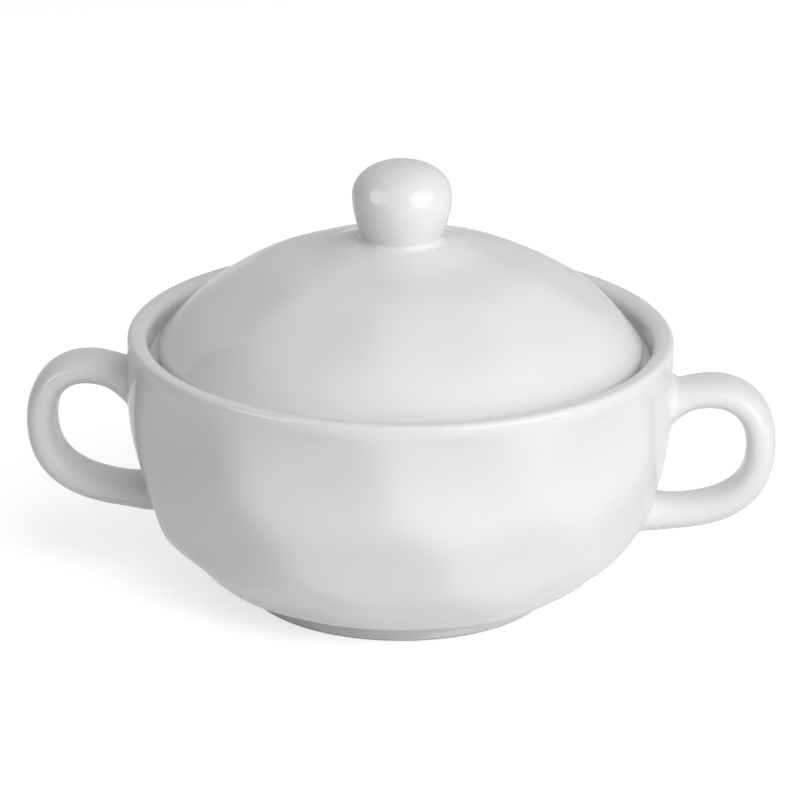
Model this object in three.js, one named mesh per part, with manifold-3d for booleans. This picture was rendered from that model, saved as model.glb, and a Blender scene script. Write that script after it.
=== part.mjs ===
// A lidded steamed egg bowl in white glazed pottery, in millimetres, with +Z up.
// The origin is the middle of the foot, on the surface that the bowl stands on.
// The two handles lie along X, and the front of the bowl faces -Y.

import * as THREE from "three";
import { mergeVertices } from "three/addons/utils/BufferGeometryUtils.js";
import Module from "manifold-3d";

// Bowl: the wall is one curve from the foot to the lip, with two points that pull it outwards.
const rimRadius = 65;
const bowlHeight = 64.4;
const wallThickness = 5.2;
const bellyOut = 0.4;
const bellyRise = 2;
const shoulderOut = 0.4;
const shoulderRise = 28.8;

// Lip and gallery, the ledge inside the lip that carries the lid.
const lipThickness = 5;
const ledgeDrop = 6.4;
const ledgeThickness = 3.5;
const ledgeSlope = 6.5;
const ledgeRound = 0.8;

// Foot ring, under the flat base of the bowl.
const footRadius = 37;
const footHeight = 5;
const footWidth = 5.5;
const footTaper = 0.4;
const footRound = 0.8;
const footStep = 1.2;

// Lid: a dome from its rounded edge to the flat pad under the knob.
const lidGap = 2.2;
const lidThickness = 3.8;
const lidEdgeRound = 1.6;
const lidRise = 29.6;
const lidShoulderInset = 2.5;
const lidShoulderRise = 11.2;
const lidCrownInset = 22;
const lidCrownDrop = 3.4;
const seatMargin = 1.2;

// Knob: a flared base, a short neck and a rounded head.
const knobRadius = 11.85;
const knobHeight = 19.2;
const knobWaist = 11;
const neckRadius = 9.6;
const neckFlare = 0.8;
const neckLean = 1.1;
const neckLift = 2.6;
const headFullness = 3.8;
const crownFullness = 4.6;
const padMargin = 0.5;

// Handle: an oval strap bent into a loop, whose heights are measured down from the lip.
const handleReach = 25;
const strapThickness = 7.2;
const strapWidth = 14;
const strapSquareness = 2.4;
const upperRootDrop = 15.8;
const upperArchOut = 8.9;
const upperArchDrop = 8.1;
const upperBendDrop = 11;
const widestDrop = 24.8;
const lowerBendDrop = 39.3;
const lowerArchOut = 9.4;
const lowerRootDrop = 42.8;
const rootDepth = 2.4;
const upperRootFlare = 0.9;
const lowerRootFlare = 0.5;
const flareLength = 7;
const jointGap = 0.3;

// Hammered flats. Each lies below the turned surface by depth, is flat from side to side, and rises again
// at reach above and below its middle. The ridges between flats are rounded.
// On the bowl the flats were beaten by eye: turns are their angles from the front, and level is the share
// of the wall's height. On the lid they are evenly spaced, and turn is the angle of the first.
// A flat cuts only where the surface faces its way by at least leastFacing.
const upperFlats = { turns: [-51, -12, 17, 51], level: 0.74, depth: 2.6, reach: 14 };
const middleFlats = { turns: [-80, -41, 0, 32, 64], level: 0.34, depth: 2.6, reach: 27 };
const lowerFlats = { turns: [-57, -20, 10.5, 51.5, 87], level: 0.105, depth: 2.4, reach: 45 };
const outerLidFlats = { count: 9, turn: 18, radius: 41, depth: 1.3, reach: 45 };
const innerLidFlats = { count: 6, turn: 42, radius: 22, depth: 0.8, reach: 40 };
const bowlRidge = 1.1;
const lidRidge = 0.7;
const plainLipBand = 5.5;
const plainBaseBand = 4;
const plainPadBand = 10;
const leastFacing = 0.3;

// Facets of the round pieces, and the halvings of a search along a curve.
const bowlTurns = 60;
const knobTurns = 36;
const wallSteps = 15;
const domeSteps = 11;
const innerSteps = 8;
const headSteps = 5;
const roundSteps = 3;
const strapSides = 18;
const strapSteps = 26;
const halvings = 40;

// Sizes that follow from the ones above.
const ledgeHeight = bowlHeight - ledgeDrop;
const galleryRadius = rimRadius - lipThickness;
const lidRadius = galleryRadius - lidGap;
const ledgeRadius = lidRadius - lidThickness - seatMargin;
const knobBaseRadius = neckRadius + neckFlare;
const padRadius = knobBaseRadius + padMargin;
const padHeight = ledgeHeight + lidRise;
const lipRadius = lipThickness / 2;
const lipHeight = bowlHeight - lipRadius;

const wasm = await Module();
wasm.setup();

const glaze = new THREE.MeshStandardMaterial({ color: 0xf1f1ef, roughness: 0.12, metalness: 0 });
const footGlaze = new THREE.MeshStandardMaterial({ color: 0xe9e7e1, roughness: 0.35, metalness: 0 });

function spot(radius, height) {
  return { at: new THREE.Vector2(radius, height) };
}

function bezier(...points) {
  return new THREE.CubicBezierCurve(...points.map(([radius, height]) => new THREE.Vector2(radius, height)));
}

// Points along a curve of a section, each with the way out of the surface there.
function surface(curve, steps, end = 1) {
  const points = [];
  for (let i = 0; i <= steps; i++) {
    const share = (end * i) / steps;
    const along = curve.getTangentAt(share);
    points.push({ at: curve.getPointAt(share), out: new THREE.Vector2(along.y, -along.x) });
  }
  return points;
}

// The inner face of a wall, without a way out because it stays smooth.
function innerFace(points, thickness) {
  return points.map(({ at, out }) => ({ at: at.clone().addScaledVector(out, -thickness) }));
}

// A rounded corner about (radius, height), from one angle to another.
function corner(radius, height, size, from, to) {
  const points = [];
  for (let i = 0; i <= roundSteps; i++) {
    const angle = THREE.MathUtils.degToRad(THREE.MathUtils.lerp(from, to, i / roundSteps));
    points.push(spot(radius + size * Math.cos(angle), height + size * Math.sin(angle)));
  }
  return points;
}

// How far along a curve a measure, the height or the radius, passes the wanted value.
function shareWhere(curve, reached) {
  let low = 0;
  let high = 1;
  for (let i = 0; i < halvings; i++) {
    const middle = (low + high) / 2;
    if (reached(curve.getPointAt(middle))) high = middle;
    else low = middle;
  }
  return low;
}

// The flats of a row: square to the surface at the row, and depth below it.
function rowOfFlats(curve, share, angles, { depth, reach }) {
  const at = curve.getPointAt(share);
  const along = curve.getTangentAt(share);
  const out = new THREE.Vector2(along.y, -along.x);
  const level = at.dot(out) - depth;
  const middle = at.dot(along);
  const row = { along, out, level, middle, depth, reach };
  return angles.map((angle) => ({ ...row, angle: THREE.MathUtils.degToRad(angle) }));
}

// How far the flats cut into a surface point, with a soft minimum that rounds the ridges.
function hammered({ flats, ridge }, angle, { at, out }) {
  let weight = 1;
  for (const flat of flats) {
    const facing = Math.cos(angle - flat.angle);
    const slant = flat.out.x * out.x * facing + flat.out.y * out.y;
    if (slant < leastFacing) continue;
    const seen = new THREE.Vector2(at.x * facing, at.y);
    const rise = (seen.dot(flat.along) - flat.middle) / flat.reach;
    const above = (flat.level + flat.depth * rise ** 2 - seen.dot(flat.out)) / slant;
    weight += Math.exp(-above / ridge);
  }
  return -ridge * Math.log(weight);
}

// A section turned about Z. Points with a way out are hammered, less where the fade says, then stood off.
function turned(section, turns, hammering, standOff = 0) {
  const shape = new THREE.LatheGeometry(
    section.map((point) => point.at),
    turns,
  );
  const place = shape.getAttribute("position");
  for (let i = 0; i < place.count; i++) {
    const point = section[i % section.length];
    if (!point.out) continue;
    const angle = (2 * Math.PI * Math.floor(i / section.length)) / turns;
    const shift = hammered(hammering, angle, point) * hammering.fade(point.at) + standOff;
    const radius = point.at.x + point.out.x * shift;
    const height = point.at.y + point.out.y * shift;
    place.setXYZ(i, radius * Math.sin(angle), height, radius * Math.cos(angle));
  }
  return shape.rotateX(Math.PI / 2);
}

// A closed geometry as a solid that can be cut.
function solid(geometry) {
  const bare = geometry.clone();
  bare.deleteAttribute("normal");
  bare.deleteAttribute("uv");
  const merged = mergeVertices(bare, 1e-4);
  return new wasm.Manifold(
    new wasm.Mesh({
      numProp: 3,
      vertProperties: merged.getAttribute("position").array,
      triVerts: new Uint32Array(merged.index.array),
    }),
  );
}

function geometryOf(manifold) {
  const mesh = manifold.getMesh();
  const shape = new THREE.BufferGeometry();
  shape.setAttribute("position", new THREE.BufferAttribute(mesh.vertProperties, 3));
  shape.setIndex(new THREE.BufferAttribute(mesh.triVerts, 1));
  shape.computeVertexNormals();
  return shape;
}

// The outer wall of the bowl, from the edge of its flat base to the lip.
const baseRadius = footRadius + footStep;
const wall = bezier(
  [baseRadius, footHeight],
  [rimRadius + bellyOut, footHeight + bellyRise],
  [rimRadius + shoulderOut, footHeight + shoulderRise],
  [rimRadius, lipHeight],
);
const shareAtHeight = (height) => shareWhere(wall, (point) => point.y > height);
const wallRadiusAt = (height) => wall.getPointAt(shareAtHeight(height)).x;

// A row on the bowl is repeated on the front and on the back.
function bowlRow({ turns, level, ...press }) {
  const angles = [0, 180].flatMap((side) => turns.map((turn) => side + turn));
  const height = THREE.MathUtils.lerp(footHeight, lipHeight, level);
  return rowOfFlats(wall, shareAtHeight(height), angles, press);
}

// The wall stays plain just above the foot and just below the lip.
function wallFade({ y }) {
  const fromBase = THREE.MathUtils.smoothstep(y, footHeight, footHeight + plainBaseBand);
  const toLip = THREE.MathUtils.smoothstep(y, bowlHeight - plainLipBand, lipHeight);
  return fromBase * (1 - toLip);
}

const bowlFlats = [upperFlats, middleFlats, lowerFlats].flatMap(bowlRow);
const bowlHammering = { flats: bowlFlats, ridge: bowlRidge, fade: wallFade };
const outerWall = surface(wall, wallSteps);

function bowlBody() {
  const ledgeFoot = ledgeHeight - ledgeThickness - ledgeSlope;
  const inside = innerFace(surface(wall, innerSteps, shareAtHeight(ledgeFoot)), wallThickness);
  const floor = inside[0].at.y;
  const lip = corner(rimRadius - lipRadius, lipHeight, lipRadius, 0, 90);
  const innerLip = corner(rimRadius - lipRadius, lipHeight, lipRadius, 90, 180);
  const section = [
    spot(0, footHeight),
    ...outerWall,
    ...lip.slice(1),
    ...innerLip.slice(1),
    ...corner(galleryRadius - ledgeRound, ledgeHeight + ledgeRound, ledgeRound, 0, -90),
    ...corner(ledgeRadius + ledgeRound, ledgeHeight - ledgeRound, ledgeRound, 90, 180),
    spot(ledgeRadius, ledgeHeight - ledgeThickness),
    ...inside.reverse(),
    spot(0, floor),
  ];
  return turned(section, bowlTurns, bowlHammering);
}

function footRing() {
  const bottomOuter = footRadius - footTaper - footRound;
  const bottomInner = footRadius - footWidth + footTaper + footRound;
  const section = [
    ...corner(bottomInner, footRound, footRound, 180, 270),
    ...corner(bottomOuter, footRound, footRound, 270, 360),
    spot(footRadius, footHeight),
    spot(footRadius - footWidth, footHeight),
    spot(bottomInner - footRound, footRound),
  ];
  return turned(section, bowlTurns);
}

// The dome of the lid, from the widest point of its edge to the pad under the knob.
const dome = bezier(
  [lidRadius, ledgeHeight + lidEdgeRound],
  [lidRadius - lidShoulderInset, ledgeHeight + lidEdgeRound + lidShoulderRise],
  [lidRadius - lidCrownInset, padHeight - lidCrownDrop],
  [padRadius, padHeight],
);

// A row on the lid goes all the way round.
function lidRow({ count, turn, radius, ...press }) {
  const angles = [];
  for (let i = 0; i < count; i++) angles.push(turn + (360 * i) / count);
  const share = shareWhere(dome, (point) => point.x < radius);
  return rowOfFlats(dome, share, angles, press);
}

function lidDome() {
  const lidFlats = [outerLidFlats, innerLidFlats].flatMap(lidRow);
  const padFade = ({ x }) => THREE.MathUtils.smoothstep(x, padRadius, padRadius + plainPadBand);
  const inside = innerFace(surface(dome, innerSteps), lidThickness);
  const seatInner = inside[0].at.x;
  const section = [
    spot(0, inside.at(-1).at.y),
    ...inside.reverse(),
    spot(seatInner, ledgeHeight),
    ...corner(lidRadius - lidEdgeRound, ledgeHeight + lidEdgeRound, lidEdgeRound, -90, 0).slice(0, -1),
    ...surface(dome, domeSteps),
    spot(0, padHeight),
  ];
  return turned(section, bowlTurns, { flats: lidFlats, ridge: lidRidge, fade: padFade });
}

function lidKnob() {
  const waistHeight = padHeight + knobWaist;
  const top = padHeight + knobHeight;
  const head = bezier(
    [neckRadius, padHeight + neckFlare],
    [neckRadius + neckLean, padHeight + neckFlare + neckLift],
    [knobRadius, waistHeight - headFullness],
    [knobRadius, waistHeight],
  );
  const crown = bezier(
    [knobRadius, waistHeight],
    [knobRadius, waistHeight + crownFullness],
    [knobRadius - crownFullness, top],
    [0, top],
  );
  const flare = corner(knobBaseRadius, padHeight + neckFlare, neckFlare, 270, 180);
  const plain = (points) => innerFace(points, 0);
  const section = [
    spot(0, padHeight),
    ...flare,
    ...plain(surface(head, headSteps)).slice(1),
    ...plain(surface(crown, headSteps)).slice(1),
  ];
  return turned(section, knobTurns);
}

// The middle line of a handle, in the plane Y = 0, from inside the wall and back into it.
function handleLine() {
  const point = (radius, drop) => new THREE.Vector3(radius, 0, bowlHeight - drop);
  const outermost = rimRadius + handleReach - strapThickness / 2;
  const rootAt = (drop) => point(wallRadiusAt(bowlHeight - drop) - rootDepth, drop);
  const line = new THREE.CurvePath();
  line.add(
    new THREE.CubicBezierCurve3(
      rootAt(upperRootDrop),
      point(rimRadius + upperArchOut, upperArchDrop),
      point(outermost, upperBendDrop),
      point(outermost, widestDrop),
    ),
  );
  line.add(
    new THREE.CubicBezierCurve3(
      point(outermost, widestDrop),
      point(outermost, lowerBendDrop),
      point(rimRadius + lowerArchOut, lowerRootDrop),
      rootAt(lowerRootDrop),
    ),
  );
  return line;
}

// A straight round bar, pressed to the oval of the strap and bent along the loop, with flared roots.
function bentStrap(line) {
  const length = line.getLength();
  const bar = new THREE.CylinderGeometry(1, 1, length, strapSides, strapSteps);
  const place = bar.getAttribute("position");
  const squared = (value) => Math.sign(value) * Math.abs(value) ** (2 / strapSquareness);
  const nearRoot = (distance) => THREE.MathUtils.clamp(1 - (distance - rootDepth) / flareLength, 0, 1);
  for (let i = 0; i < place.count; i++) {
    const share = THREE.MathUtils.clamp(place.getY(i) / length + 0.5, 0, 1);
    const middle = line.getPointAt(share);
    const along = line.getTangentAt(share);
    const upperSwell = upperRootFlare * nearRoot(share * length) ** 2;
    const lowerSwell = lowerRootFlare * nearRoot((1 - share) * length) ** 2;
    const swell = upperSwell + lowerSwell;
    const through = squared(place.getX(i)) * (strapThickness / 2 + swell);
    const across = squared(place.getZ(i)) * (strapWidth / 2 + swell);
    place.setXYZ(i, middle.x - along.z * through, across, middle.z + along.x * through);
  }
  return bar;
}

// The strap cut back to the wall of the bowl, with the width of the slip joint left free.
function loopHandle() {
  const envelope = turned(
    [spot(0, footHeight), ...outerWall, spot(rimRadius, bowlHeight), spot(0, bowlHeight)],
    bowlTurns,
    bowlHammering,
    jointGap,
  );
  return geometryOf(solid(bentStrap(handleLine())).subtract(solid(envelope)));
}

const eggBowl = new THREE.Group();

function place(name, geometry, material) {
  const mesh = new THREE.Mesh(geometry, material.clone());
  mesh.name = name;
  eggBowl.add(mesh);
  return mesh;
}

place("bowl_body", bowlBody(), glaze);
place("foot_ring", footRing(), footGlaze);
place("lid_dome", lidDome(), glaze);
place("lid_knob", lidKnob(), glaze);
const handleShape = loopHandle();
place("right_handle", handleShape, glaze);
place("left_handle", handleShape, glaze).rotation.z = Math.PI;

export default eggBowl;
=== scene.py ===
# %% [markdown]
# # A lidded egg bowl in white glazed pottery
#
# The bowl, its foot, two loop handles and a lid with a knob are already there as plain solids.
# They were made for measuring and for moving, so their faces are coarse. This lesson makes each
# piece again with fine, smooth faces, in the same place and at the same size, and gives it a glaze.
# Everything is in metres. The origin is the middle of the foot, +Z is up and the front faces -Y.

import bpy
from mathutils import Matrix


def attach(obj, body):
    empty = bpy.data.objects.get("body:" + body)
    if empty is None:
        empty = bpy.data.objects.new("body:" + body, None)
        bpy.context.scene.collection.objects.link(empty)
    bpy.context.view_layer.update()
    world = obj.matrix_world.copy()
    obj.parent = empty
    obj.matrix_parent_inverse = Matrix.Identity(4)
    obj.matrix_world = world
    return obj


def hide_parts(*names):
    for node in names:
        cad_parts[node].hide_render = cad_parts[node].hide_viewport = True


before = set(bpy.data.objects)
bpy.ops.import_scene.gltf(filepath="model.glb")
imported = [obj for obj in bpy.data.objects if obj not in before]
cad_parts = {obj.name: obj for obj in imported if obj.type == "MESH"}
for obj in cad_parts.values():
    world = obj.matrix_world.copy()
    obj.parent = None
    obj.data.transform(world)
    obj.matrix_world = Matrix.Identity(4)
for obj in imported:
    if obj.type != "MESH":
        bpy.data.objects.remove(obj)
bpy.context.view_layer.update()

# %% [markdown]
# ## Tools for turned pottery
#
# A potter throws a bowl on a wheel, so its shape is one section turned about an axis. Blender's spin
# operator does the same with a chain of edges. The sections are written in millimetres, because that
# is how a potter would measure them, and become metres when the chain is made.

# %% Spin a section into a closed shape
import bisect
import math

import bmesh
import bpy
from mathutils import Matrix, Vector
from mathutils.bvhtree import BVHTree
from mathutils.geometry import interpolate_bezier

MM = 0.001
MERGE_DISTANCE = 1e-6
WHEEL_STEPS = 288


def spun(section):
    """A closed bmesh from a section of (radius, height) points in millimetres.

    The section starts and ends on the axis, or meets itself."""
    bm = bmesh.new()
    chain = [bm.verts.new((radius * MM, 0, height * MM)) for radius, height in section]
    edges = [bm.edges.new(pair) for pair in zip(chain, chain[1:])]
    bmesh.ops.spin(
        bm,
        geom=chain + edges,
        axis=(0, 0, 1),
        cent=(0, 0, 0),
        steps=WHEEL_STEPS,
        angle=2 * math.pi,
        use_merge=True,
    )
    bmesh.ops.remove_doubles(bm, verts=bm.verts, dist=MERGE_DISTANCE)
    bmesh.ops.dissolve_degenerate(bm, edges=bm.edges, dist=MERGE_DISTANCE)
    bmesh.ops.recalc_face_normals(bm, faces=bm.faces)
    bm.normal_update()
    return bm


def curve(start, pull_start, pull_end, end, steps):
    """Points of one smooth bend between two points, pulled by two more."""
    corners = [Vector((radius, height, 0)) for radius, height in (start, pull_start, pull_end, end)]
    return [(point.x, point.y) for point in interpolate_bezier(*corners, steps + 1)]


def rounding(radius, height, size, first, last, steps=8):
    """Points of a rounded edge about (radius, height), between two angles in degrees."""
    angles = [math.radians(first + (last - first) * i / steps) for i in range(steps + 1)]
    return [(radius + size * math.cos(a), height + size * math.sin(a)) for a in angles]


def height_at_radius(points, radius):
    """The height of the point of a bend that is nearest to a radius."""
    return min(points, key=lambda point: abs(point[0] - radius))[1]


def inward(points, thickness):
    """The same bend, moved to its left by the thickness of the wall."""
    moved = []
    for i, (radius, height) in enumerate(points):
        before, after = points[max(i - 1, 0)], points[min(i + 1, len(points) - 1)]
        along = Vector((after[0] - before[0], after[1] - before[1])).normalized()
        moved.append((radius - along.y * thickness, height + along.x * thickness))
    return moved


def piece(name, bm, body, node):
    """A bmesh as a smooth object that rides on a body and stands for one of the solids."""
    mesh = bpy.data.meshes.new(name)
    bm.to_mesh(mesh)
    for face in mesh.polygons:
        face.use_smooth = True
    made = bpy.data.objects.new(name, mesh)
    bpy.context.scene.collection.objects.link(made)
    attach(made, body)
    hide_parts(node)
    print(name, "faces:", len(mesh.polygons))
    return made


print("tools ready, wheel steps:", WHEEL_STEPS)

# %% [markdown]
# ## Hammered flats
#
# The outside of the bowl and of the lid looks as if it was beaten with a flat mallet: broad, almost
# flat patches meet at soft ridges. A noise texture would give random dents, and a bevelled polyhedron
# would give hard ridges. Here each flat is a plane that lies a little under the turned surface. Every
# point goes down to the lowest plane at its place, and a soft minimum rounds the ridges between planes.

# %% Planes of the flats
LEAST_FACING = 0.3
LEAST_OUTWARD = 0.01


def point_at_height(points, height):
    """The point of a rising bend at a height, and the way out of the surface there."""
    for low, high in zip(points, points[1:]):
        if high[1] >= height:
            share = (height - low[1]) / (high[1] - low[1])
            along = Vector((high[0] - low[0], high[1] - low[1])).normalized()
            return Vector((low[0] + share * (high[0] - low[0]), height)), Vector((along.y, -along.x))
    raise ValueError("the bend doesn't reach this height")


def flats_in_row(points, height, angles, depth, reach):
    """Flats square to the surface at this height, each at an angle from the front.

    They lie depth below the surface, are flat from side to side, and rise again at reach above and
    below their middle."""
    at, out = point_at_height(points, height)
    flats = []
    for angle in angles:
        turn = math.radians(angle)
        facing = Vector((out.x * math.sin(turn), -out.x * math.cos(turn), out.y))
        along = Vector((-out.y * math.sin(turn), out.y * math.cos(turn), out.x))
        middle = at.dot(Vector((-out.y, out.x)))
        flats.append((facing, at.dot(out) - depth, along, middle, depth, reach))
    return flats


def hammer(bm, flats, ridge, outside, fade):
    """Moves the outside points down to the flats, along their own normals, with rounded ridges."""
    moves = []
    for vert in bm.verts:
        if not outside(vert):
            continue
        weight = 1
        place = vert.co / MM
        for facing, level, along, middle, depth, reach in flats:
            slant = facing.dot(vert.normal)
            if slant < LEAST_FACING:
                continue
            rise = (along.dot(place) - middle) / reach
            above = (level + depth * rise * rise - facing.dot(place)) / slant
            weight += math.exp(-above / ridge)
        cut = ridge * math.log(weight) * fade(vert)
        moves.append((vert, vert.normal * cut * MM))
    for vert, move in moves:
        vert.co -= move
    bm.normal_update()
    return max(move.length for _, move in moves) / MM


def smooth_step(value, low, high):
    share = min(max((value - low) / (high - low), 0), 1)
    return share * share * (3 - 2 * share)


print("least facing of a flat:", LEAST_FACING)

# %% [markdown]
# ## The bowl
#
# The wall swells out from the flat base, stands almost upright above and ends in a lip, which is tightly
# rounded outside and softly inside. Below the lip lies the gallery, a ledge that carries the lid. The
# section goes up the outside, over the lip and down the inside, so that the wall has its real thickness.

# %% Section of the bowl
RIM_RADIUS, BOWL_HEIGHT, WALL = 65.0, 64.4, 5.2
LIP_THICKNESS, LIP_OUTER_ROUND, LIP_INNER_ROUND, LIP_STEPS = 5.0, 1.3, 2.6, 12
LIP_HEIGHT = BOWL_HEIGHT - LIP_THICKNESS / 2
FOOT_RADIUS, FOOT_HEIGHT, FOOT_STEP = 37.0, 5.0, 1.2
BASE_RADIUS = FOOT_RADIUS + FOOT_STEP
WALL_SWELL, BASE_PULL, BELLY_PULL, WALL_STEPS = 0.4, 2.0, 28.8, 64
LEDGE_HEIGHT, LEDGE_RADIUS, LEDGE_THICKNESS, LEDGE_SLOPE, LEDGE_ROUND = 58.0, 52.8, 3.5, 6.5, 0.8
GALLERY_RADIUS = RIM_RADIUS - LIP_THICKNESS

wall = curve(
    (BASE_RADIUS, FOOT_HEIGHT),
    (RIM_RADIUS + WALL_SWELL, FOOT_HEIGHT + BASE_PULL),
    (RIM_RADIUS + WALL_SWELL, FOOT_HEIGHT + BELLY_PULL),
    (RIM_RADIUS, LIP_HEIGHT),
    WALL_STEPS,
)
slope_foot = LEDGE_HEIGHT - LEDGE_THICKNESS - LEDGE_SLOPE
inside = [point for point in inward(wall, WALL) if point[1] < slope_foot]
lip_outside = (RIM_RADIUS - LIP_OUTER_ROUND, BOWL_HEIGHT - LIP_OUTER_ROUND)
lip_inside = (GALLERY_RADIUS + LIP_INNER_ROUND, BOWL_HEIGHT - LIP_INNER_ROUND)
bowl_section = (
    [(0, FOOT_HEIGHT), (BASE_RADIUS / 2, FOOT_HEIGHT)]
    + wall
    + rounding(*lip_outside, LIP_OUTER_ROUND, 0, 90, LIP_STEPS)
    + rounding(*lip_inside, LIP_INNER_ROUND, 90, 180, LIP_STEPS)
    + rounding(GALLERY_RADIUS - LEDGE_ROUND, LEDGE_HEIGHT + LEDGE_ROUND, LEDGE_ROUND, 0, -90)
    + rounding(LEDGE_RADIUS + LEDGE_ROUND, LEDGE_HEIGHT - LEDGE_ROUND, LEDGE_ROUND, 90, 180)
    + [(LEDGE_RADIUS, LEDGE_HEIGHT - LEDGE_THICKNESS)]
    + inside[::-1]
    + [(inside[0][0] / 2, inside[0][1]), (0, inside[0][1])]
)
print("section of the bowl:", len(bowl_section), "points")

# %% Bowl with its three rows of flats
BOWL_RIDGE, PLAIN_LIP_BAND, PLAIN_BASE_BAND, NEAR_BASE = 1.1, 5.5, 4.0, 0.99
# Each row: angles from the front, share of the height of the wall, depth, reach.
BOWL_ROWS = (
    ((-51, -12, 17, 51), 0.74, 2.6, 14),
    ((-80, -41, 0, 32, 64), 0.34, 2.6, 27),
    ((-57, -20, 10.5, 51.5, 87), 0.105, 2.4, 45),
)

bowl_flats = []
for turns, level, depth, reach in BOWL_ROWS:
    angles = [side + turn for side in (0, 180) for turn in turns]
    row_height = FOOT_HEIGHT + level * (LIP_HEIGHT - FOOT_HEIGHT)
    bowl_flats += flats_in_row(wall, row_height, angles, depth, reach)


def faces_out(vert):
    radius = math.hypot(vert.co.x, vert.co.y)
    outward = vert.co.x * vert.normal.x + vert.co.y * vert.normal.y
    return radius > BASE_RADIUS * MM * NEAR_BASE and outward > LEAST_OUTWARD * radius


def wall_fade(vert):
    height = vert.co.z / MM
    from_base = smooth_step(height, FOOT_HEIGHT, FOOT_HEIGHT + PLAIN_BASE_BAND)
    return from_base * (1 - smooth_step(height, BOWL_HEIGHT - PLAIN_LIP_BAND, LIP_HEIGHT))


bowl_bm = spun(bowl_section)
deepest = hammer(bowl_bm, bowl_flats, BOWL_RIDGE, faces_out, wall_fade)
bowl_tree = BVHTree.FromBMesh(bowl_bm)
bowl = piece("bowl_glazed", bowl_bm, "bowl", "bowl_body")
print("deepest flat on the bowl:", round(deepest, 2), "mm")

# %% [markdown]
# ## The foot
#
# The bowl stands on a low ring. The potter turns it from the same clay, so it flows into the base with
# a hollow curve, wide on the outside and small on the inside, and its lower edge is rounded. The section
# meets itself and is spun into a ring, whose top lies hidden in the base.

# %% Foot ring
FOOT_WIDTH, FOOT_TAPER, FOOT_ROUND, SUNK = 5.5, 0.4, 0.8, 0.3
OUTER_COVE, INNER_COVE, FOOT_WAIST, COVE_STEPS = 3.4, 1.2, 0.5, 16
outer_low = FOOT_RADIUS - FOOT_ROUND
inner_low = FOOT_RADIUS - FOOT_WIDTH + FOOT_TAPER + FOOT_ROUND
cove_radius = FOOT_RADIUS - FOOT_WAIST + OUTER_COVE
cove_top = height_at_radius(wall, cove_radius)
inner_cove_radius = FOOT_RADIUS - FOOT_WIDTH - INNER_COVE
foot_section = (
    [(cove_radius, cove_top + SUNK)]
    + rounding(cove_radius, cove_top - OUTER_COVE, OUTER_COVE, 90, 180, COVE_STEPS)
    + rounding(outer_low, FOOT_ROUND, FOOT_ROUND, 0, -90)
    + rounding(inner_low, FOOT_ROUND, FOOT_ROUND, 270, 180)
    + rounding(inner_cove_radius, FOOT_HEIGHT - INNER_COVE, INNER_COVE, 0, 90)
    + [(inner_cove_radius, FOOT_HEIGHT + SUNK)]
)
foot = piece("foot_glazed", spun(foot_section + foot_section[:1]), "bowl", "foot_ring")

# %% [markdown]
# ## The handles
#
# Each handle is a strap of clay, pulled to an oval section, bent into a loop and stuck on with slip. The
# wet slip is smoothed into a small fillet at both roots. A curve object with a bevel would make the loop
# but not the fillets. So a straight bar is cut into rings, the rings are laid along the loop, and near the
# wall each line of the bar is stopped on the wall itself and bent outwards along a quarter circle.

# %% Middle line of the loop
STRAP_THICKNESS, STRAP_WIDTH, STRAP_SQUARENESS = 7.2, 14.0, 2.4
HANDLE_REACH, ROOT_DEPTH, LOOP_STEPS = 25.0, 2.4, 120
OUTERMOST = RIM_RADIUS + HANDLE_REACH - STRAP_THICKNESS / 2
UPPER_ROOT, WIDEST, LOWER_ROOT = BOWL_HEIGHT - 15.8, BOWL_HEIGHT - 24.8, BOWL_HEIGHT - 42.8
upper_start = point_at_height(wall, UPPER_ROOT)[0].x - ROOT_DEPTH
lower_end = point_at_height(wall, LOWER_ROOT)[0].x - ROOT_DEPTH
upper_half = curve(
    (upper_start, UPPER_ROOT),
    (RIM_RADIUS + 8.9, BOWL_HEIGHT - 8.1),
    (OUTERMOST, BOWL_HEIGHT - 11),
    (OUTERMOST, WIDEST),
    LOOP_STEPS,
)
lower_half = curve(
    (OUTERMOST, WIDEST),
    (OUTERMOST, BOWL_HEIGHT - 39.3),
    (RIM_RADIUS + 9.4, LOWER_ROOT),
    (lower_end, LOWER_ROOT),
    LOOP_STEPS,
)
loop = [Vector((radius, 0, height)) for radius, height in upper_half + lower_half[1:]]
travelled = [0.0]
for here, there in zip(loop, loop[1:]):
    travelled.append(travelled[-1] + (there - here).length)
LOOP_LENGTH = travelled[-1]


def on_loop(distance):
    """The point of the middle line at a distance along it, and its direction.

    The line goes on straight past both ends."""
    i = min(max(bisect.bisect_right(travelled, distance) - 1, 0), len(loop) - 2)
    step = loop[i + 1] - loop[i]
    share = (distance - travelled[i]) / step.length
    before, after = loop[max(i - 1, 0)], loop[min(i + 2, len(loop) - 1)]
    near = (loop[i + 1] - before).normalized()
    far = (after - loop[i]).normalized()
    along = near.lerp(far, min(max(share, 0), 1)).normalized()
    return loop[i] + step * share, along


print("length of the loop:", round(LOOP_LENGTH, 1), "mm")

# %% Lines of the strap, stopped on the wall
FLARE_LENGTH, UPPER_FLARE, LOWER_FLARE = 7.0, 0.9, 0.5
FILLET, FILLET_STEPS, BODY_STEPS, STRAP_SIDES = 2.0, 8, 72, 56
OUTSIDE_ALL, PAST_END, ROOT_SHARE, HALVINGS = 0.15, 4.0, 0.2, 30


def squared(value):
    return math.copysign(abs(value) ** (2 / STRAP_SQUARENESS), value)


def near_root(distance):
    return min(max(1 - (distance - ROOT_DEPTH) / FLARE_LENGTH, 0), 1) ** 2


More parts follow.
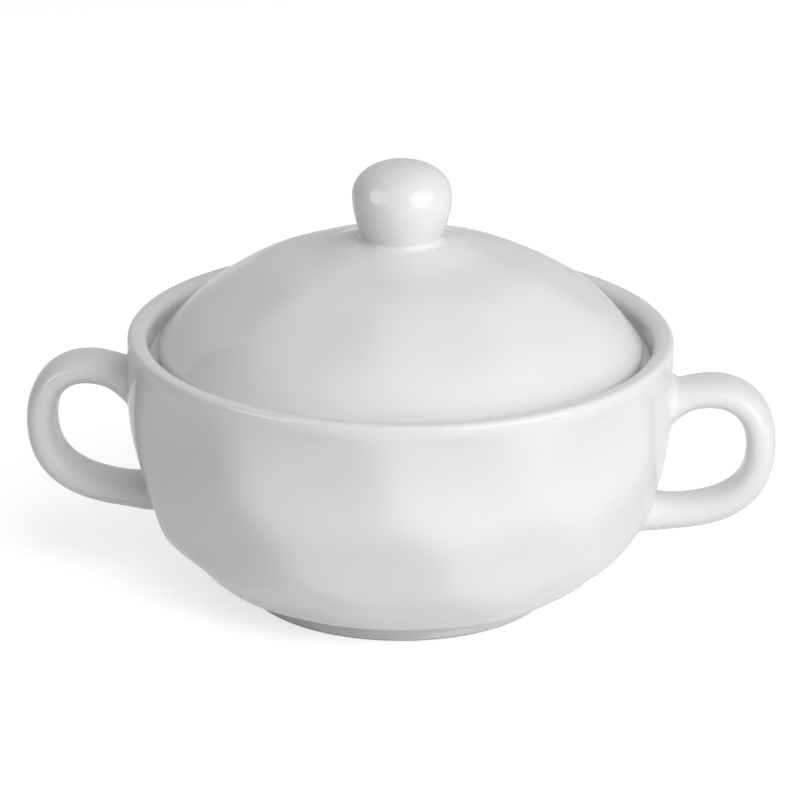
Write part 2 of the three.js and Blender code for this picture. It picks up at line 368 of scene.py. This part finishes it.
def on_strap(distance, around):
    """A point of the strap before its fillets, in millimetres, and the way out of the strap there."""
    middle, along = on_loop(distance)
    swell = UPPER_FLARE * near_root(distance) + LOWER_FLARE * near_root(LOOP_LENGTH - distance)
    through = squared(math.cos(around)) * (STRAP_THICKNESS / 2 + swell)
    across = squared(math.sin(around)) * (STRAP_WIDTH / 2 + swell)
    up = Vector((-along.z, 0, along.x))
    side = Vector((0, 1, 0))
    steep = STRAP_SQUARENESS - 1
    tilt_up = math.copysign(abs(through / (STRAP_THICKNESS / 2)) ** steep, through) / STRAP_THICKNESS
    tilt_side = math.copysign(abs(across / (STRAP_WIDTH / 2)) ** steep, across) / STRAP_WIDTH
    return middle + up * through + side * across, (up * tilt_up + side * tilt_side).normalized()


def above_wall(point):
    """How far a point in millimetres stands off the bowl, and the way out of the bowl there."""
    flat = Vector((point.x, point.y, 0)).normalized()
    start = flat * OUTSIDE_ALL + Vector((0, 0, point.z * MM))
    hit, out, _, _ = bowl_tree.ray_cast(start, -flat)
    return (math.hypot(point.x, point.y) - math.hypot(hit.x, hit.y) / MM) * out.dot(flat), out


def where_above(around, wanted, low, high):
    """The distance along the loop where a line of the strap is as far off the wall as wanted.

    It lies between low, which is inside the wall, and high, which is outside it."""
    for _ in range(HALVINGS):
        middle = (low + high) / 2
        if above_wall(on_strap(middle, around)[0])[0] > wanted:
            high = middle
        else:
            low = middle
    return low


def strap_line(around):
    """Points of one line of the strap, from inside the wall, round the loop and into the wall again."""
    ends = []
    upper_range = (-PAST_END, LOOP_LENGTH * ROOT_SHARE)
    lower_range = (LOOP_LENGTH + PAST_END, LOOP_LENGTH * (1 - ROOT_SHARE))
    for low, high in (upper_range, lower_range):
        rows = []
        for i in range(FILLET_STEPS + 1):
            angle = math.pi / 2 * i / FILLET_STEPS
            distance = where_above(around, FILLET * (1 - math.cos(angle)), low, high)
            point, out = on_strap(distance, around)
            wall_out = above_wall(point)[1]
            spread = (out - wall_out * out.dot(wall_out)).normalized()
            rows.append((distance, point + spread * FILLET * (1 - math.sin(angle)), wall_out))
        ends.append(rows)
    first, last = ends[0][-1][0], ends[1][-1][0]
    between = [first + (last - first) * i / BODY_STEPS for i in range(1, BODY_STEPS)]
    sunk = [rows[0][1] - rows[0][2] * SUNK * 2 for rows in ends]
    return (
        [sunk[0]]
        + [row[1] for row in ends[0]]
        + [on_strap(distance, around)[0] for distance in between]
        + [row[1] for row in ends[1][::-1]]
        + [sunk[1]]
    )


lines = [strap_line(2 * math.pi * i / STRAP_SIDES) for i in range(STRAP_SIDES)]
STRAP_ROWS = len(lines[0])
print("strap:", STRAP_SIDES, "lines of", STRAP_ROWS, "points")

# %% Two handles from one bar
def handle_bm(turned):
    """A round bar cut into rings, whose points are laid on the lines of the strap.

    When turned, it stands on the other side of the bowl."""
    bm = bmesh.new()
    bmesh.ops.create_cone(bm, cap_ends=True, segments=STRAP_SIDES, radius1=1, radius2=1, depth=1)
    upright = [edge for edge in bm.edges if abs(edge.verts[0].co.z - edge.verts[1].co.z) > 0.5]
    bmesh.ops.subdivide_edges(bm, edges=upright, cuts=STRAP_ROWS - 2, use_grid_fill=True)
    for vert in bm.verts:
        row = round((vert.co.z + 0.5) * (STRAP_ROWS - 1))
        side = round(math.atan2(vert.co.y, vert.co.x) / (2 * math.pi) * STRAP_SIDES) % STRAP_SIDES
        vert.co = lines[side][row] * MM
    bmesh.ops.recalc_face_normals(bm, faces=bm.faces)
    if turned:
        bmesh.ops.scale(bm, vec=(-1, -1, 1), verts=bm.verts)
    return bm


right_handle = piece("right_handle_glazed", handle_bm(False), "bowl", "right_handle")
left_handle = piece("left_handle_glazed", handle_bm(True), "bowl", "left_handle")

# %% [markdown]
# ## The lid
#
# The lid is a shallow dome with a rounded edge that sits inside the lip, on the gallery. Its outside has
# two rings of flats. A flat pad in the middle is left plain, because the knob is stuck on there.

# %% Section of the lid
LID_RADIUS, LID_WALL, LID_RISE = 57.8, 3.8, 29.6
LID_EDGE, EDGE_TURN, EDGE_STEPS = 2.6, 36, 16
PAD_RADIUS, PAD_HEIGHT, PLAIN_PAD_BAND = 10.9, LEDGE_HEIGHT + LID_RISE, 10.0
SHOULDER_INSET, SHOULDER_RISE, CROWN_INSET, CROWN_DROP, DOME_STEPS = 9.2, 12.6, 16.8, 4.8, 64
edge_middle = (LID_RADIUS - LID_EDGE, LEDGE_HEIGHT + LID_EDGE)
lid_edge = rounding(*edge_middle, LID_EDGE, -90, EDGE_TURN, EDGE_STEPS)
dome = curve(
    lid_edge[-1],
    (LID_RADIUS - SHOULDER_INSET, LEDGE_HEIGHT + LID_EDGE + SHOULDER_RISE),
    (LID_RADIUS - CROWN_INSET, PAD_HEIGHT - CROWN_DROP),
    (PAD_RADIUS, PAD_HEIGHT),
    DOME_STEPS,
)
under = [point for point in inward(dome, LID_WALL) if point[1] > LEDGE_HEIGHT]
lid_section = (
    [(0, under[-1][1])]
    + under[::-1]
    + [(under[0][0], LEDGE_HEIGHT)]
    + lid_edge[:-1]
    + dome
    + [(0, PAD_HEIGHT)]
)
print("section of the lid:", len(lid_section), "points")

# %% Lid with its two rings of flats
LID_RIDGE = 0.7
# Each ring: radius, number of flats, angle of the first, depth, reach.
LID_RINGS = ((41, 9, 18, 1.3, 45), (22, 6, 42, 0.8, 40))

lid_flats = []
for radius, count, turn, depth, reach in LID_RINGS:
    angles = [turn + 360 * i / count for i in range(count)]
    lid_flats += flats_in_row(dome, height_at_radius(dome, radius), angles, depth, reach)


def faces_up(vert):
    return vert.normal.z > LEAST_OUTWARD and vert.co.z > (LEDGE_HEIGHT + LID_EDGE) * MM


def pad_fade(vert):
    return smooth_step(math.hypot(vert.co.x, vert.co.y) / MM, PAD_RADIUS, PAD_RADIUS + PLAIN_PAD_BAND)


lid_bm = spun(lid_section)
deepest = hammer(lid_bm, lid_flats, LID_RIDGE, faces_up, pad_fade)
lid = piece("lid_glazed", lid_bm, "lid", "lid_dome")
print("deepest flat on the lid:", round(deepest, 2), "mm")

# %% [markdown]
# ## The knob
#
# The knob is a round head on a slightly narrower neck. Slip fills the corner between the neck and the lid
# with a small fillet. It is spun like the rest, from two bends that meet at its widest place. Two shallow
# flats at the front of the head catch the lamps and show as two small bright patches.

# %% Section of the knob
KNOB_RADIUS, KNOB_WAIST, KNOB_RISE = 11.85, 11.0, 19.2
NECK_RADIUS, NECK_FLARE, NECK_LEAN, NECK_LIFT = 9.6, 1.3, 1.1, 2.6
HEAD_FULLNESS, CROWN_FULLNESS = 3.8, 4.6
FLARE_STEPS, NECK_STEPS, CROWN_STEPS = 12, 24, 64
# The fillet stops a little before it lies flat on the pad, which it meets there.
FLARE_FIRST, FLARE_LAST = 261, 180
waist = PAD_HEIGHT + KNOB_WAIST
knob_top = PAD_HEIGHT + KNOB_RISE
neck_height = PAD_HEIGHT + NECK_FLARE
flare_radius = NECK_RADIUS + NECK_FLARE
neck_bend = curve(
    (NECK_RADIUS, neck_height),
    (NECK_RADIUS + NECK_LEAN, neck_height + NECK_LIFT),
    (KNOB_RADIUS, waist - HEAD_FULLNESS),
    (KNOB_RADIUS, waist),
    NECK_STEPS,
)[1:]
crown_bend = curve(
    (KNOB_RADIUS, waist),
    (KNOB_RADIUS, waist + CROWN_FULLNESS),
    (KNOB_RADIUS - CROWN_FULLNESS, knob_top),
    (0, knob_top),
    CROWN_STEPS,
)[1:]
knob_section = (
    [(0, PAD_HEIGHT - SUNK), (flare_radius, PAD_HEIGHT - SUNK)]
    + rounding(flare_radius, neck_height, NECK_FLARE, FLARE_FIRST, FLARE_LAST, FLARE_STEPS)
    + neck_bend
    + crown_bend
)
print("section of the knob:", len(knob_section), "points")

# %% Knob with its two flats
KNOB_RIDGE, KNOB_FLAT_REACH = 0.06, 40
# Each flat: height above the widest place, angle from the front, depth.
KNOB_FLATS = ((2.2, 29, 0.3), (2.6, -25, 0.2))

knob_flats = []
for rise, turn, depth in KNOB_FLATS:
    knob_flats += flats_in_row(crown_bend, waist + rise, (turn,), depth, KNOB_FLAT_REACH)


def on_head(vert):
    return vert.co.z > neck_height * MM


def no_fade(vert):
    return 1


knob_bm = spun(knob_section)
deepest = hammer(knob_bm, knob_flats, KNOB_RIDGE, on_head, no_fade)
knob = piece("knob_glazed", knob_bm, "lid", "lid_knob")
print("deepest flat on the knob:", round(deepest, 2), "mm")

# %% [markdown]
# ## The glaze
#
# White glaze is a thin glass skin over white clay. It is glossy, but not perfectly even: its tone shifts a
# little where it lies thicker, and its skin has a faint, wide ripple that bends reflections. Both come from
# noise on Object coordinates, so they stay on the piece from any side.

# %% Glaze material
GLAZE_THIN, GLAZE_THICK, GLAZE_IOR = (0.83, 0.83, 0.83, 1), (0.8, 0.8, 0.8, 1), 1.5
GLAZE_SMOOTHEST, GLAZE_ROUGHEST = 0.025, 0.06
POOL_SCALE, POOL_DETAIL = 38, 3
RIPPLE_SCALE, RIPPLE_DETAIL, RIPPLE_STRENGTH, RIPPLE_HEIGHT = 60, 0, 0.2, 0.00012


def glaze_material(name):
    made = bpy.data.materials.new(name)
    made.use_nodes = True
    nodes, links = made.node_tree.nodes, made.node_tree.links
    shader = nodes["Principled BSDF"]
    place = nodes.new("ShaderNodeTexCoord")

    pool = nodes.new("ShaderNodeTexNoise")
    pool.inputs["Scale"].default_value = POOL_SCALE
    pool.inputs["Detail"].default_value = POOL_DETAIL
    links.new(place.outputs["Object"], pool.inputs["Vector"])
    tone = nodes.new("ShaderNodeMix")
    tone.data_type = "RGBA"
    tone.inputs["A"].default_value = GLAZE_THIN
    tone.inputs["B"].default_value = GLAZE_THICK
    links.new(pool.outputs["Fac"], tone.inputs["Factor"])
    links.new(tone.outputs["Result"], shader.inputs["Base Color"])

    sheen = nodes.new("ShaderNodeMapRange")
    sheen.inputs["To Min"].default_value = GLAZE_SMOOTHEST
    sheen.inputs["To Max"].default_value = GLAZE_ROUGHEST
    links.new(pool.outputs["Fac"], sheen.inputs["Value"])
    links.new(sheen.outputs["Result"], shader.inputs["Roughness"])

    ripple = nodes.new("ShaderNodeTexNoise")
    ripple.inputs["Scale"].default_value = RIPPLE_SCALE
    ripple.inputs["Detail"].default_value = RIPPLE_DETAIL
    links.new(place.outputs["Object"], ripple.inputs["Vector"])
    skin = nodes.new("ShaderNodeBump")
    skin.inputs["Strength"].default_value = RIPPLE_STRENGTH
    skin.inputs["Distance"].default_value = RIPPLE_HEIGHT
    links.new(ripple.outputs["Fac"], skin.inputs["Height"])
    links.new(skin.outputs["Normal"], shader.inputs["Normal"])

    shader.inputs["IOR"].default_value = GLAZE_IOR
    return made


white_glaze = glaze_material("white_glaze")
glazed_pieces = (bowl, right_handle, left_handle, lid, knob)
for glazed in glazed_pieces:
    glazed.data.materials.append(white_glaze)
print("white glaze on", len(glazed_pieces), "pieces")

# %% [markdown]
# ## The foot's bare edge
#
# A potter wipes the glaze off the edge that the ware stands on, so that it doesn't stick to the kiln shelf.
# The foot takes the same glaze, and below a height of about half a millimetre it changes to bare, matt clay.

# %% Foot material
BARE_BELOW, GLAZED_ABOVE = 0.0004, 0.0007
CLAY_PALE, CLAY_DARK, CLAY_ROUGHNESS, GRAIN_SCALE = (0.74, 0.73, 0.71, 1), (0.66, 0.65, 0.62, 1), 0.75, 1600

foot_glaze = glaze_material("foot_glaze")
nodes, links = foot_glaze.node_tree.nodes, foot_glaze.node_tree.links
shader = nodes["Principled BSDF"]
place = nodes.new("ShaderNodeTexCoord")
split = nodes.new("ShaderNodeSeparateXYZ")
links.new(place.outputs["Object"], split.inputs["Vector"])
wiped = nodes.new("ShaderNodeMapRange")
wiped.inputs["From Min"].default_value = BARE_BELOW
wiped.inputs["From Max"].default_value = GLAZED_ABOVE
links.new(split.outputs["Z"], wiped.inputs["Value"])
grain = nodes.new("ShaderNodeTexNoise")
grain.inputs["Scale"].default_value = GRAIN_SCALE
links.new(place.outputs["Object"], grain.inputs["Vector"])
clay = nodes.new("ShaderNodeMix")
clay.data_type = "RGBA"
clay.inputs["A"].default_value = CLAY_PALE
clay.inputs["B"].default_value = CLAY_DARK
links.new(grain.outputs["Fac"], clay.inputs["Factor"])
for socket, bare in (("Base Color", clay.outputs["Result"]), ("Roughness", None)):
    glazed = shader.inputs[socket].links[0].from_socket
    change = nodes.new("ShaderNodeMix")
    change.data_type = "RGBA" if bare else "FLOAT"
    ends = [s for s in change.inputs if s.enabled and s.name in ("A", "B")]
    if bare:
        links.new(bare, ends[0])
    else:
        ends[0].default_value = CLAY_ROUGHNESS
    links.new(glazed, ends[1])
    links.new(wiped.outputs["Result"], change.inputs["Factor"])
    links.new([s for s in change.outputs if s.enabled][0], shader.inputs[socket])
foot.data.materials.append(foot_glaze)
print("bare edge up to", round(GLAZED_ABOVE / MM, 1), "mm")

# %% [markdown]
# ## Floor and backdrop
#
# The bowl stands on a plain white floor that runs out of the picture. The floor takes the shadow as any
# matt surface does. For the camera it also glows, so that it is white there. In reflections it glows less.

# %% Floor
FLOOR_GLOW, MIRRORED_WHITE = 0.63, 0.6
FLOOR_RADIUS, FLOOR_SIDES = 4, 96
PAPER_WHITE, PAPER_ROUGHNESS, PAPER_SPECULAR = (0.8, 0.8, 0.8, 1), 0.9, 0.1


def math_node(nodes, links, operation, first, second):
    """A math node on two values or sockets, as its output socket."""
    made = nodes.new("ShaderNodeMath")
    made.operation = operation
    for socket, value in zip(made.inputs, (first, second)):
        if isinstance(value, (int, float)):
            socket.default_value = value
        else:
            links.new(value, socket)
    return made.outputs["Value"]


def sees_backdrop(nodes, links, mirrored_share):
    """A socket that is 1 for rays straight from the camera.

    For mirrored rays and rays through glass it is a share of 1."""
    rays = nodes.new("ShaderNodeLightPath").outputs
    mirrored = math_node(nodes, links, "MAXIMUM", rays["Is Glossy Ray"], rays["Is Transmission Ray"])
    mirrored = math_node(nodes, links, "MULTIPLY", mirrored, mirrored_share)
    return math_node(nodes, links, "MAXIMUM", rays["Is Camera Ray"], mirrored)


bm = bmesh.new()
bmesh.ops.create_circle(bm, cap_ends=True, segments=FLOOR_SIDES, radius=FLOOR_RADIUS)
mesh = bpy.data.meshes.new("floor")
bm.to_mesh(mesh)
floor = bpy.data.objects.new("floor", mesh)
bpy.context.scene.collection.objects.link(floor)
paper = bpy.data.materials.new("white_paper")
paper.use_nodes = True
nodes, links = paper.node_tree.nodes, paper.node_tree.links
matt = nodes["Principled BSDF"]
matt.inputs["Base Color"].default_value = PAPER_WHITE
matt.inputs["Roughness"].default_value = PAPER_ROUGHNESS
matt.inputs["Specular IOR Level"].default_value = PAPER_SPECULAR
glow = nodes.new("ShaderNodeEmission")
level = math_node(nodes, links, "MULTIPLY", sees_backdrop(nodes, links, MIRRORED_WHITE), FLOOR_GLOW)
links.new(level, glow.inputs["Strength"])
both = nodes.new("ShaderNodeAddShader")
links.new(matt.outputs["BSDF"], both.inputs[0])
links.new(glow.outputs["Emission"], both.inputs[1])
links.new(both.outputs["Shader"], nodes["Material Output"].inputs["Surface"])
mesh.materials.append(paper)
print("floor radius:", FLOOR_RADIUS, "m")

# %% [markdown]
# ## Light
#
# The main light is a large soft box low on the right, so the right side is bright and the left side falls
# off gently. It also draws the bright patch on the knob and the streaks on the handles. A weak box on the
# left gives the second patch and is seen in the gloss only. The fill from above the camera only lightens,
# so it is kept out of the gloss.

# %% Lamps
MIDDLE = Vector((0, 0, 0.05))


def soft_box(name, azimuth, elevation, distance, width, height, power):
    """A soft box at these angles from the front, in degrees, that faces the middle of the bowl."""
    a, e = math.radians(azimuth), math.radians(elevation)
    way = Vector((math.sin(a) * math.cos(e), -math.cos(a) * math.cos(e), math.sin(e)))
    data = bpy.data.lights.new(name, "AREA")
    data.shape = "RECTANGLE"
    data.size, data.size_y, data.energy = width, height, power
    lamp = bpy.data.objects.new(name, data)
    lamp.location = MIDDLE + way * distance
    lamp.rotation_euler = (-way).to_track_quat("-Z", "Y").to_euler()
    bpy.context.scene.collection.objects.link(lamp)
    return lamp


soft_box("right_box", azimuth=52, elevation=15, distance=1.0, width=0.9, height=0.7, power=4.6)
left_box = soft_box("left_box", azimuth=-54, elevation=20, distance=1.0, width=0.5, height=0.5, power=2.0)
left_box.visible_diffuse = False
fill = soft_box("front_fill", azimuth=30, elevation=50, distance=1.2, width=1.0, height=1.0, power=6.9)
fill.visible_glossy = False

# %% [markdown]
# ## Room
#
# The room gives an even grey light. The camera sees plain white instead. Reflections and glass see a paler
# tone too, as far as a paper backdrop would reach behind the bowl. Its upper edge draws a faint line on
# the lid.

# %% World
ROOM_LIGHT, BACKDROP_TOP, BACKDROP_SIDE = 0.27, 2.4, 1.7
WHITE = (1, 1, 1, 1)


def toward_backdrop(nodes, links):
    """A socket that is the mirrored white for directions to a wall behind, and 0 above and beside it."""
    way = nodes.new("ShaderNodeTexCoord")
    split = nodes.new("ShaderNodeSeparateXYZ")
    links.new(way.outputs["Generated"], split.inputs["Vector"])
    sideways = math_node(nodes, links, "ABSOLUTE", split.outputs["X"], 0)
    sideways = math_node(nodes, links, "DIVIDE", sideways, BACKDROP_SIDE)
    upwards = math_node(nodes, links, "DIVIDE", split.outputs["Z"], BACKDROP_TOP)
    farther = math_node(nodes, links, "MAXIMUM", sideways, upwards)
    behind = math_node(nodes, links, "GREATER_THAN", split.outputs["Y"], farther)
    return math_node(nodes, links, "MULTIPLY", behind, MIRRORED_WHITE)


world = bpy.data.worlds.new("studio")
bpy.context.scene.world = world
world.use_nodes = True
nodes, links = world.node_tree.nodes, world.node_tree.links
room = nodes["Background"]
room.inputs["Color"].default_value = WHITE
room.inputs["Strength"].default_value = ROOM_LIGHT
backdrop = nodes.new("ShaderNodeBackground")
backdrop.inputs["Color"].default_value = WHITE
backdrop.inputs["Strength"].default_value = 1
shows_white = sees_backdrop(nodes, links, toward_backdrop(nodes, links))
choose = nodes.new("ShaderNodeMixShader")
links.new(shows_white, choose.inputs["Fac"])
links.new(room.outputs["Background"], choose.inputs[1])
links.new(backdrop.outputs["Background"], choose.inputs[2])
links.new(choose.outputs["Shader"], nodes["World Output"].inputs["Surface"])
print("room light:", ROOM_LIGHT)

# %% [markdown]
# ## Camera
#
# The photograph was taken with a long lens from a little above the lid, slightly to the right, with the
# camera leaning by about half a degree.

# %% Camera
AZIMUTH, ELEVATION, DISTANCE, LEAN = 4.9, 20.1, 1.2, 0.6
SENSOR_WIDTH, FOCAL_LENGTH = 36, 225.8
TARGET = Vector((0, 0, 0.0471))
azimuth, elevation = math.radians(AZIMUTH), math.radians(ELEVATION)
ahead, aside = math.cos(azimuth) * math.cos(elevation), math.sin(azimuth) * math.cos(elevation)
back = Vector((aside, -ahead, math.sin(elevation)))
lens = bpy.data.cameras.new("camera")
lens.sensor_width = SENSOR_WIDTH
lens.lens = FOCAL_LENGTH
camera = bpy.data.objects.new("camera", lens)
camera.location = TARGET + back * DISTANCE
look = (-back).to_track_quat("-Z", "Y").to_matrix()
camera.rotation_euler = (look @ Matrix.Rotation(math.radians(LEAN), 3, "Z")).to_euler()
bpy.context.scene.collection.objects.link(camera)
bpy.context.scene.camera = camera
bpy.context.scene.view_settings.view_transform = "Standard"
print("camera at", [round(value, 3) for value in camera.location])
